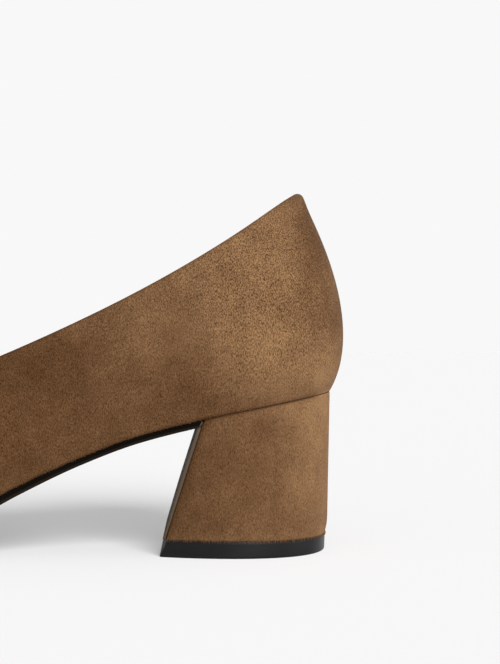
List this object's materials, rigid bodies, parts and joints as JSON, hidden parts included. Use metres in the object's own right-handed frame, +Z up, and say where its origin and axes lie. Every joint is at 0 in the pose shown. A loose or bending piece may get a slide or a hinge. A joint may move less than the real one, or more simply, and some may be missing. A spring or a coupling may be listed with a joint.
{
  "type": "heeled shoe",
  "caption": "Closed court shoe in brown suede with a low topline, a thin black sole and a flared, suede-covered block heel on a black toplift.",
  "frame": {"origin": "on the floor, under the middle of the shoe's bounding box", "axes": "+X towards the heel, so the toe points to -X; +Y towards the inner side of the foot; +Z up"},
  "size_m": [0.2391, 0.078, 0.1125],
  "materials": {
    "suede": "brushed nap, matt",
    "lining": "smooth, soft sheen",
    "sole": "satin",
    "heel_cover": "brushed nap, matt",
    "toplift": "satin"
  },
  "bodies": {
    "root": {"upper": "suede", "insole": "lining", "outsole": "sole", "heel": "heel_cover", "toplift": "toplift"}
  },
  "joints": []
}
